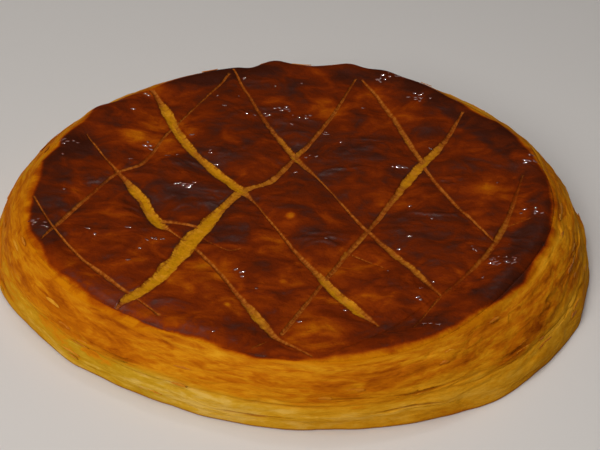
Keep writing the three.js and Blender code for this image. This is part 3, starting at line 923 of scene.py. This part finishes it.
def flakes_mesh(size):
    """Loose flakes that cling to the wall along its leaves, each curled off it at one side."""
    columns, rows = FLAKE_GRID
    draw = np.random.default_rng(7)
    points, tones = [], []
    along = np.linspace(-1, 1, columns)[:, None]
    up = np.linspace(0, 1, rows)[None, :]
    for _ in range(size.flakes):
        bearing = math.radians(draw.uniform(-180, 180))
        leaf = draw.choice(np.arange(2, size.leaves - 1)) + draw.uniform(-0.1, 0.25)
        length, tall = draw.uniform(*FLAKE_LENGTH), draw.uniform(*FLAKE_TALL)
        curl, lift = draw.uniform(*FLAKE_CURL), draw.uniform(*FLAKE_LIFT)
        narrow = (1 - np.abs(along) ** 2.2) ** draw.uniform(*FLAKE_TIP)
        ragged = 1 + 0.25 * noise(along * 3, float(bearing * 50), 151)
        where = bearing + along * length / 2 / BASE_RADIUS + 0 * up
        height = leaf + (up * tall * narrow * ragged + 0.35 * (1 - narrow) * tall) * size.leaves / WALL_ARC
        level, relief, _ = wall_leaves(where, height, size)
        level = 0.6 * level + 0.4 * (height / size.leaves)
        outer = np.maximum(relief, 0) * 0.5 + (0.1 + lift + curl * up ** 2 + 0.12 * along ** 2)
        for stand in (outer, outer - FLAKE_THICKNESS):
            points.append(wall_place(where, level, stand).reshape(-1, 3))
        tones.append(np.full(2 * columns * rows, draw.uniform(0, 1)))
    faces = repeated(shard(columns, rows), size.flakes)
    return np.concatenate(points), faces, {"flake": np.concatenate(tones)}


def blister_places(draw, cuts):
    """Where the blisters are, in clusters and scattered, clear of the cuts and of the edge."""
    places = []
    for x, y, count in BLISTER_CLUSTERS:
        places += [(x + draw.normal(0, BLISTER_SPREAD), y + draw.normal(0, BLISTER_SPREAD * 0.6))
                   for _ in range(count)]
    for _ in range(SCATTERED_BLISTERS):
        bearing, reach = draw.uniform(0, TAU), 0.97 * math.sqrt(draw.uniform(0, 1))
        places.append((EDGE_CENTRE[0] + EDGE_RADIUS * reach * math.cos(bearing),
                       EDGE_CENTRE[1] + EDGE_RADIUS * reach * math.sin(bearing)))
    places = np.array(places)
    clear = cut_fields(*places.T, cuts)["inside"] < -BLISTER_CLEARANCE
    return places[clear & (top_reach(*places.T)[1] < BLISTER_REACH)]


def blisters_mesh(size):
    """Low blisters where the egg wash bubbled, as closed domes that sit in the glazed surface."""
    draw = np.random.default_rng(11)
    cuts = all_cuts()
    places = blister_places(draw, cuts)
    angle = bearings(DOME_SPOKES)
    climb = math.pi / 2 * np.arange(DOME_RINGS) / DOME_RINGS
    points = []
    for place in places:
        long, short = draw.uniform(*BLISTER_LONG), draw.uniform(*BLISTER_SHORT)
        tall, tilt = draw.uniform(*BLISTER_TALL), draw.normal(0, BLISTER_TILT)
        across = np.stack([np.cos(angle) * long, np.sin(angle) * short], 1)
        across = across @ np.array([[math.cos(tilt), math.sin(tilt)], [-math.sin(tilt), math.cos(tilt)]])
        plan = np.concatenate([*(place + across * share for share in np.cos(climb)), [place, place]])
        base, _ = top_places(*plan.T, cuts, size)
        rise = np.repeat(np.sin(climb) * tall, DOME_SPOKES)
        base[:, 2] += np.concatenate([rise, [tall, -BLISTER_ROOT]]) - BLISTER_SUNK
        points.append(base)
    return np.concatenate(points), repeated(dome(DOME_RINGS, DOME_SPOKES), len(places)), {}


# ---------------------------------------------------------------------------------------------------
# Finishes


def srgb(red, green, blue):
    """A colour as Blender wants it, from the 0 to 255 numbers of a screen."""
    return tuple(c / 12.92 if c <= 0.04045 else ((c + 0.055) / 1.055) ** 2.4
                 for c in (red / 255, green / 255, blue / 255))


def solid(colour):
    return (*colour, 1.0)


class Wire:
    """A shader socket in a Python expression, where each operation on numbers adds a Math node."""

    def __init__(self, recipe, socket):
        self.recipe = recipe
        self.socket = socket

    def math(self, operation, first, second):
        return self.recipe.node("ShaderNodeMath", {"operation": operation}, {0: first, 1: second})

    def __add__(self, other):
        return self.math("ADD", self, other)

    def __mul__(self, other):
        return self.math("MULTIPLY", self, other)

    def __sub__(self, other):
        return self.math("SUBTRACT", self, other)

    def __rsub__(self, other):
        return self.math("SUBTRACT", other, self)

    __radd__ = __add__
    __rmul__ = __mul__

    def ease(self, low, high, start=0.0, end=1.0):
        """start up to low, end from high on and smooth between. low may be the higher number."""
        values = {"Value": self, "From Min": low, "From Max": high, "To Min": start, "To Max": end}
        return self.recipe.node("ShaderNodeMapRange", {"interpolation_type": "SMOOTHSTEP"}, values)


class Recipe:
    """A material's nodes."""

    def __init__(self, name):
        self.material = bpy.data.materials.new(name)
        self.material.use_nodes = True
        self.tree = self.material.node_tree
        self.tree.nodes.clear()

    def node(self, kind, settings, values, output=0):
        """Adds a node: its settings first, then the values or wires of its sockets."""
        made = self.tree.nodes.new(kind)
        for name, value in settings.items():
            if name == "stops":
                self.set_stops(made.color_ramp, value)
            else:
                setattr(made, name, value)
        for name, value in values.items():
            if isinstance(value, Wire):
                self.tree.links.new(value.socket, made.inputs[name])
            else:
                made.inputs[name].default_value = value
        return Wire(self, made.outputs[output])

    @staticmethod
    def set_stops(ramp, stops):
        while len(ramp.elements) < len(stops):
            ramp.elements.new(1.0)
        for element, (place, colour) in zip(ramp.elements, stops):
            element.position = place
            element.color = solid(colour)

    def field(self, name):
        """A number that the mesh carries."""
        return self.node("ShaderNodeAttribute", {"attribute_name": name}, {}, output=2)

    def vector_field(self, name):
        return self.node("ShaderNodeAttribute", {"attribute_name": name}, {}, output=1)

    def place(self):
        """The place in the cake, in millimetres."""
        metres = self.node("ShaderNodeTexCoord", {}, {}, output=3)
        return self.stretch(metres, (1 / MM, 1 / MM, 1 / MM))

    def stretch(self, vector, factors):
        return self.node("ShaderNodeVectorMath", {"operation": "MULTIPLY"}, {0: vector, 1: factors})

    def noise(self, vector, pitch, detail=2.0, roughness=0.5, distortion=0.0):
        """Noise from 0 to 1 whose largest features are about pitch across."""
        values = {"Vector": vector, "Scale": 1 / pitch, "Detail": detail, "Roughness": roughness,
                  "Distortion": distortion}
        return self.node("ShaderNodeTexNoise", {}, values)

    def mix(self, share, first, second):
        """Two colours, or wires of colours, mixed: all first at share 0."""
        first, second = (paint if isinstance(paint, Wire) else solid(paint) for paint in (first, second))
        return self.node("ShaderNodeMix", {"data_type": "RGBA"}, {0: share, 6: first, 7: second}, output=2)

    def ramp(self, share, stops):
        return self.node("ShaderNodeValToRGB", {"stops": stops}, {"Fac": share})

    def bump(self, height, distance, strength):
        return self.node("ShaderNodeBump", {}, {"Height": height, "Distance": distance, "Strength": strength})

    def finish(self, values):
        """The material, with these values and wires on its shader."""
        shader = self.node("ShaderNodeBsdfPrincipled", {}, values)
        surface = self.tree.nodes.new("ShaderNodeOutputMaterial").inputs["Surface"]
        self.tree.links.new(shader.socket, surface)
        return self.material


class Wash:
    """The egg wash's colour, gloss and wrinkles, shared by the crust and the top so that they meet."""

    def __init__(self, made, look):
        place = made.place()
        tone = made.field("tone")
        streak = made.noise(made.stretch(place, (1.0, 1.25, 1.0)), 16, 4.0, 0.52, 1.1)
        fine = made.noise(made.stretch(place, (1.0, 1.5, 1.0)), 4.0, 4.0, 0.6, 0.9)
        speckle = made.noise(place, 1.3, 3.0, 0.65)
        baked = tone + (streak - 0.5) * 1.35 + (fine - 0.5) * 0.28 + (speckle - 0.5) * 0.14
        # The ramp runs from bare pastry, at PASTRY_TONE, to a tone of 1.25.
        share = (baked - PASTRY_TONE) * 0.625
        self.colour = made.ramp(share, [
            (0.0, look.pastry), (0.11, look.amber), (0.22, look.glow), (0.36, look.orange),
            (0.50, look.russet), (0.66, look.mahogany), (0.84, look.charred)])
        shine = made.field("shine")
        sealed = baked + shine.ease(1.0, 1.4, 0.0, 0.5)
        self.gloss = sealed.ease(0.5, 1.1) * fine.ease(0.3, 0.65, 0.4, 1.0) * shine
        self.height = streak * 0.8 + fine * 0.7 + speckle * 0.3
        self.fine = fine
        self.speckle = speckle


def finish_baked(made, colour, gloss, height, grit):
    """Pastry or egg wash: the glossier, the more coat it has, and grit varies how rough it is."""
    return made.finish({
        "Base Color": colour,
        "Roughness": gloss.ease(0, 1, 0.65, 0.45) + grit,
        "Coat Weight": gloss * 0.3,
        "Coat Roughness": 0.36,
        "Specular IOR Level": 0.01,
        "Normal": made.bump(height, distance=0.0008, strength=0.7),
    })


def crust_material(look, wash_look):
    """Baked puff pastry: streaks of gold along the leaves, paler below the seam, baked darker in places."""
    made = Recipe("flaky_crust")
    wash = Wash(made, wash_look)
    grain = made.vector_field("grain")
    level, gap, browned, pallor, covered = (
        made.field(name) for name in ("level", "gap", "browned", "pallor", "covered"))
    place = made.place()
    broad = made.noise(grain, 55)
    patch = made.noise(made.stretch(grain, (1.0, 1.0, 1.2)), 20, 3.0, 0.5, 0.8)
    mottle = made.noise(made.stretch(grain, (1.0, 1.0, 0.9)), 6.5, 3.0, 0.55, 0.6)
    fine = made.noise(made.stretch(grain, (1.0, 1.0, 1.2)), 2.6, 3.0, 0.6)
    lines = made.noise(made.stretch(grain, (1.0, 1.0, 3.5)), 14, 3.0, 0.55, 0.6)
    crumb = made.noise(place, 0.9, 3.0, 0.6)

    # One run of colours from the palest leaves to the darkest baked ones, which turned in blotches.
    baked = (patch - 0.5) * 0.48 + (mottle - 0.5) * 0.34 + (fine - 0.5) * 0.2 + (broad - 0.5) * 0.6
    blotch = made.noise(made.stretch(grain, (1.0, 1.0, 0.9)), 18, 4.0, 0.55, 1.2).ease(0.42, 0.66)
    share = baked + (lines - 0.5) * 0.14 + blotch * (browned * 0.24 + 0.08) + browned * 0.25 + 0.455
    colour = made.ramp(share, [
        (0.16, look.straw), (0.32, look.light), (0.48, look.gold), (0.66, look.amber), (0.88, look.brown_and_shade)])
    pale = made.ramp(share - pallor * 0.08, [
        (0.22, look.cream), (0.35, look.pale), (0.47, look.olive), (0.58, look.gold), (0.75, look.amber)])
    colour = made.mix(pallor, colour, pale)
    # Painted shade in the cracks, slits and soft creases between the leaves.
    colour = made.mix(gap.ease(0.05, 0.9) * 0.6, colour, look.brown_and_shade)
    # Partly real baking and partly painted contact shadow: the lowest part of the wall is darkened to a thin
    # dark line at the foot.
    colour = made.mix(level.ease(0.025, 0.0) * 0.7, colour, look.brown_and_shade)
    colour = made.mix(covered, colour, wash.colour)
    underside = made.mix(made.noise(place, 9, 5.0, 0.7).ease(0.35, 0.65), look.amber, look.brown_and_shade)
    colour = made.mix(level.ease(0.002, 0.0), colour, underside)

    rough = mottle * 0.4 + fine * 0.4 + crumb * 0.15 - lines * 0.5
    height = covered * wash.height + (1 - covered) * rough
    return finish_baked(made, colour, covered * wash.gloss, height, (fine - 0.5) * 0.2)


def glaze_material(look):
    """Egg wash baked to mahogany over the top, with golden pastry showing where the knife cut it."""
    made = Recipe("egg_glaze")
    wash = Wash(made, look)
    half, across = made.field("half"), made.field("across")
    grain = made.vector_field("grain")

    # The cut flesh: gold in the wide gashes, tan in the thin cuts, which show a dark line down the middle.
    ridges = made.noise(made.stretch(grain, (1.0, 0.35, 1.0)), 1.6, 3.0, 0.6, 0.8)
    crumbs = made.noise(grain, 2.4, 3.0, 0.6)
    damp = made.noise(grain, 8.0)
    flesh = made.ramp((ridges - 0.5) * 0.5 + (crumbs - 0.5) * 0.6 + (damp - 0.5) * 0.8 + 0.5, [
        (0.30, look.flesh_light), (0.45, look.flesh), (0.58, look.flesh_olive), (0.74, look.flesh_dark)])
    lip = (across + (crumbs - 0.5) * 0.9).ease(0.5, 0.85)
    flesh = made.mix(lip * 0.75, flesh, made.mix(ridges.ease(0.4, 0.6), look.tan, look.flesh_light))
    thread = made.mix(ridges.ease(0.38, 0.62), look.tan, look.tan_light)
    flesh = made.mix(half.ease(3.3, 1.2), flesh, thread)
    centre = across.ease(0.6, 0.15) * half.ease(2.0, 0.9) * crumbs.ease(0.35, 0.6)
    flesh = made.mix(centre * 0.8, flesh, look.orange)
    bare = made.field("bare")
    shown = (bare * 1.3 + (wash.fine - 0.5) * 0.9 * (bare * (1 - bare)).ease(0, 0.2)).ease(0.15, 1.0)
    colour = made.mix(shown, wash.colour, flesh)

    height = (1 - shown) * wash.height + shown * (ridges * 0.45 + crumbs * 0.5)
    return finish_baked(made, colour, (1 - shown) * wash.gloss, height, (wash.speckle - 0.5) * 0.15)


def flake_material(look):
    """Thin crisp pastry, from straw to amber."""
    made = Recipe("pastry_flake")
    tone = made.field("flake")
    spots = made.noise(made.place(), 2.5, 3.0, 0.6)
    share = tone * 0.5 + spots * 0.9 - 0.2
    return made.finish({
        "Base Color": made.ramp(share, [(0.1, look.light), (0.4, look.gold), (0.8, look.amber)]),
        "Roughness": 0.6,
        "Specular IOR Level": 0.15,
        "Normal": made.bump(spots, distance=0.0003, strength=0.5),
    })


def blister_material(look):
    """The taut skin of a bubble in the egg wash, which glints."""
    made = Recipe("glaze_blister")
    spots = made.noise(made.place(), 6, 3.0, 0.6)
    return made.finish({
        "Base Color": made.ramp(spots, [(0.35, look.russet), (0.65, look.mahogany)]),
        "Roughness": spots.ease(0.3, 0.7, 0.3, 0.45),
        "Coat Weight": 1.0,
        "Coat IOR": 1.9,
        "Coat Roughness": 0.08,
        "Specular IOR Level": 0.1,
        "Normal": made.bump(made.noise(made.place(), 0.8), distance=0.0001, strength=0.5),
    })


def floor_material(look):
    """A plain pale table."""
    made = Recipe("pale_floor")
    haze = made.noise(made.place(), 600)
    colour = made.mix(haze, look.floor_colour, [c * 0.97 for c in look.floor_colour])
    return made.finish({"Base Color": colour, "Roughness": 0.6, "Specular IOR Level": 0.3})


# ---------------------------------------------------------------------------------------------------
# Pieces


def make_piece(name, material, points, faces, fields, layout=None, smooth=None):
    """A mesh object from points in millimetres, triangles, numbers for its finish and a flat map.
    Faces from number smooth on are flat shaded."""
    mesh = bpy.data.meshes.new(name)
    mesh.from_pydata((points * MM).tolist(), [], faces.tolist(), shade_flat=False)
    if smooth is not None:
        flat = np.arange(len(faces)) >= smooth
        mesh.attributes.new("sharp_face", "BOOLEAN", "FACE").data.foreach_set("value", flat)
    for field, values in fields.items():
        kind, slot = ("FLOAT", "value") if values.ndim == 1 else ("FLOAT_VECTOR", "vector")
        mesh.attributes.new(field, kind, "POINT").data.foreach_set(slot, values.astype(np.float32).ravel())
    if layout is not None:
        mesh.uv_layers.new(name="OFBake").data.foreach_set("uv", layout.astype(np.float32).ravel())
    if mesh.validate():
        raise RuntimeError(f"{name} had faces that are no use")
    mesh.materials.append(material)
    piece = bpy.data.objects.new(name, mesh)
    bpy.context.scene.collection.objects.link(piece)
    return piece


def area_light(name, place, size, power, colour):
    """A soft light at a place in metres, as wide and tall as size says, that shines on the cake."""
    light = bpy.data.lights.new(name, "AREA")
    light.shape = "RECTANGLE"
    light.size, light.size_y = size
    light.energy = power
    light.color = colour
    lamp = bpy.data.objects.new(name, light)
    bpy.context.scene.collection.objects.link(lamp)
    lamp.location = place
    lamp.rotation_euler = (Vector(LIT_POINT) - Vector(place)).to_track_quat("-Z", "Y").to_euler()
    return lamp


def length(name, description, millimetres):
    """A small length that the user can change, kept in metres."""
    return FloatProperty(name=name, description=description, default=millimetres * MM, min=0.0,
                         precision=5, unit="LENGTH", subtype="DISTANCE")


def colour(name, description, red, green, blue):
    return FloatVectorProperty(name=name, description=description, default=srgb(red, green, blue), size=3,
                               min=0.0, max=1.0, subtype="COLOR")


def power(name, description, watts):
    return FloatProperty(name=name, description=description, default=watts, min=0.0, unit="POWER")


class CrustSettings(bpy.types.PropertyGroup):
    leaves: IntProperty(name="Leaves", description="Leaves of pastry from base to edge", default=18, min=6)
    leaf_relief: length("Leaf relief", "How far the edges of leaves stand out or lie back", 0.34)
    pillow_relief: length("Pillow relief", "How far short stretches of the wall puffed out", 0.55)
    puff_relief: length("Puff relief", "How far long stretches of the wall puffed out", 0.9)
    flakes: IntProperty(name="Flakes", description="Loose flakes on the wall", default=80, min=1)
    gold: colour("Gold", "Most of the wall", 212, 136, 17)
    light: colour("Light gold", "Pale places of the wall", 226, 156, 30)
    straw: colour("Straw", "Palest leaves", 236, 172, 48)
    amber: colour("Amber", "Darker places of the wall", 190, 104, 8)
    # This colour is also used for painted shade: the cracks and creases between leaves and the foot of the
    # wall are mixed towards it.
    brown_and_shade: colour("Brown", "Browned places and the gaps between leaves", 152, 70, 5)
    pale: colour("Pale", "Wall below the seam", 204, 160, 42)
    cream: colour("Cream", "Palest leaves below the seam", 216, 180, 88)
    olive: colour("Olive", "Damp pastry below the seam", 188, 144, 24)


class GlazeSettings(bpy.types.PropertyGroup):
    pillow_height: length("Pillow height", "How far the dough puffed between the cuts", 1.0)
    lump_height: length("Lump height", "Height of the uneven lumps", 0.6)
    fold_height: length("Fold height", "Height of the soft folds in the skin", 0.4)
    wrinkle_height: length("Wrinkle height", "Height of the wrinkles in the skin", 0.12)
    cut_depth: length("Cut depth", "Depth of a narrow cut", 0.9)
    pastry: colour("Pastry", "Bare pastry beyond the glaze", 204, 122, 6)
    amber: colour("Amber", "Where the glaze thins out", 184, 96, 3)
    glow: colour("Glow", "Palest glaze", 166, 74, 2)
    orange: colour("Orange", "Pale glaze", 138, 51, 2)
    russet: colour("Russet", "Middle glaze", 114, 38, 3)
    mahogany: colour("Mahogany", "Dark glaze", 89, 31, 6)
    charred: colour("Charred", "Darkest glaze", 65, 24, 9)
    flesh: colour("Flesh", "Pastry in the wide cuts", 208, 138, 14)
    flesh_light: colour("Light flesh", "Torn edges in the wide cuts", 220, 150, 34)
    flesh_dark: colour("Flesh shade", "Hollows of the pastry in the wide cuts", 176, 102, 5)
    flesh_olive: colour("Flesh olive", "Damp pastry in the wide cuts", 196, 134, 6)
    tan: colour("Tan", "Pastry in the thin cuts", 140, 68, 14)
    tan_light: colour("Light tan", "Palest pastry in the thin cuts", 178, 102, 34)


class StageSettings(bpy.types.PropertyGroup):
    floor_colour: colour("Floor", "Colour of the table", 226, 223, 221)
    world_light: FloatProperty(name="Room light", description="Strength of the light from all round",
                               default=0.02, min=0.0)
    key_power: power("Key light", "Main light, in front of the cake on the left", 16.5)
    top_power: power("Ceiling light", "Soft light above the cake", 9.0)
    window_power: power("Window light", "Light behind the cake that only its sheen shows", 1.6)
    lamp_power: power("Lamp", "Small lamp that only its glints show", 10.0)


# ---------------------------------------------------------------------------------------------------
# Operators


class GALETTE_OT_crust(bpy.types.Operator):
    """Make the flaky wall and the underside"""

    bl_idname = "galette.crust"
    bl_label = "Crust"

    def execute(self, context):
        settings = context.scene.galette_crust
        material = crust_material(settings, context.scene.galette_glaze)
        piece = make_piece("galette_crust", material, *crust_mesh(settings))
        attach(piece, BODY)
        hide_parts(CAD_NODE)
        return {"FINISHED"}


class GALETTE_OT_glaze(bpy.types.Operator):
    """Make the glazed top with its knife cuts"""

    bl_idname = "galette.glaze"
    bl_label = "Glazed top"

    def execute(self, context):
        settings = context.scene.galette_glaze
        piece = make_piece("galette_glaze", glaze_material(settings), *glaze_mesh(settings))
        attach(piece, BODY)
        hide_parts(CAD_NODE)
        return {"FINISHED"}


class GALETTE_OT_flakes(bpy.types.Operator):
    """Make the loose flakes on the wall"""

    bl_idname = "galette.flakes"
    bl_label = "Flakes"

    def execute(self, context):
        settings = context.scene.galette_crust
        piece = make_piece("pastry_flakes", flake_material(settings), *flakes_mesh(settings))
        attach(piece, BODY)
        return {"FINISHED"}


class GALETTE_OT_blisters(bpy.types.Operator):
    """Make the blisters in the egg wash"""

    bl_idname = "galette.blisters"
    bl_label = "Blisters"

    def execute(self, context):
        settings = context.scene.galette_glaze
        piece = make_piece("glaze_blisters", blister_material(settings), *blisters_mesh(settings))
        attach(piece, BODY)
        return {"FINISHED"}


class GALETTE_OT_stage(bpy.types.Operator):
    """Make the table, the lights and the camera"""

    bl_idname = "galette.stage"
    bl_label = "Stage"

    def execute(self, context):
        look = context.scene.galette_stage
        make_floor(look)
        make_lights(look)
        make_camera()
        context.scene.view_settings.view_transform = "Standard"
        return {"FINISHED"}


def make_floor(look):
    signs = ((-1, -1), (1, -1), (1, 1), (-1, 1))
    corners = np.array([(x * FLOOR_HALF, y * FLOOR_HALF, FLOOR_LEVEL) for x, y in signs])
    floor = make_piece("floor", floor_material(look), corners, np.array([(0, 1, 2), (0, 2, 3)]), {})


def make_lights(look):
    world = bpy.data.worlds.new("room")
    world.use_nodes = True
    background = world.node_tree.nodes["Background"]
    background.inputs["Color"].default_value = solid(ROOM_COLOUR)
    background.inputs["Strength"].default_value = look.world_light
    bpy.context.scene.world = world
    for name, power_setting, place, size, colour, lights_all in LIGHTS:
        lamp = area_light(name, place, size, getattr(look, power_setting), colour)
        lamp.visible_diffuse = lights_all


def make_camera():
    data = bpy.data.cameras.new("camera")
    data.sensor_width = SENSOR_WIDTH
    data.lens = CAMERA_LENS
    data.clip_start, data.clip_end = CLIP_START, CLIP_END
    camera = bpy.data.objects.new("camera", data)
    place, target = Vector(CAMERA_PLACE), Vector(CAMERA_TARGET)
    back = (place - target).normalized()
    right = Vector((0, 0, 1)).cross(back).normalized()
    up = back.cross(right)
    roll = math.radians(CAMERA_ROLL)
    across = right * math.cos(roll) + up * math.sin(roll)
    upright = up * math.cos(roll) - right * math.sin(roll)
    turned = Matrix((across, upright, back)).transposed().to_4x4()
    camera.matrix_world = Matrix.Translation(place * MM) @ turned
    bpy.context.scene.collection.objects.link(camera)
    bpy.context.scene.camera = camera


class GALETTE_PT_panel(bpy.types.Panel):
    """The cake's pieces, in the order in which they are made"""

    bl_label = "Galette des rois"
    bl_idname = "GALETTE_PT_panel"
    bl_space_type = "VIEW_3D"
    bl_region_type = "UI"
    bl_category = "Galette"

    def draw(self, context):
        for group in ("galette_crust", "galette_glaze", "galette_stage"):
            box = self.layout.box()
            settings = getattr(context.scene, group)
            for name in settings.__annotations__:
                box.prop(settings, name)
        for operator in OPERATORS:
            self.layout.operator(operator.bl_idname)


OPERATORS = (GALETTE_OT_crust, GALETTE_OT_glaze, GALETTE_OT_flakes, GALETTE_OT_blisters, GALETTE_OT_stage)
CLASSES = (CrustSettings, GlazeSettings, StageSettings, *OPERATORS, GALETTE_PT_panel)


def register():
    for made in CLASSES:
        bpy.utils.register_class(made)
    bpy.types.Scene.galette_crust = PointerProperty(type=CrustSettings)
    bpy.types.Scene.galette_glaze = PointerProperty(type=GlazeSettings)
    bpy.types.Scene.galette_stage = PointerProperty(type=StageSettings)


def unregister():
    del bpy.types.Scene.galette_crust
    del bpy.types.Scene.galette_glaze
    del bpy.types.Scene.galette_stage
    for made in reversed(CLASSES):
        bpy.utils.unregister_class(made)


def main():
    """Makes the pieces and the stage."""
    register()
    bpy.ops.galette.crust()
    bpy.ops.galette.glaze()
    bpy.ops.galette.flakes()
    bpy.ops.galette.blisters()
    bpy.ops.galette.stage()


if __name__ == "__main__":
    main()
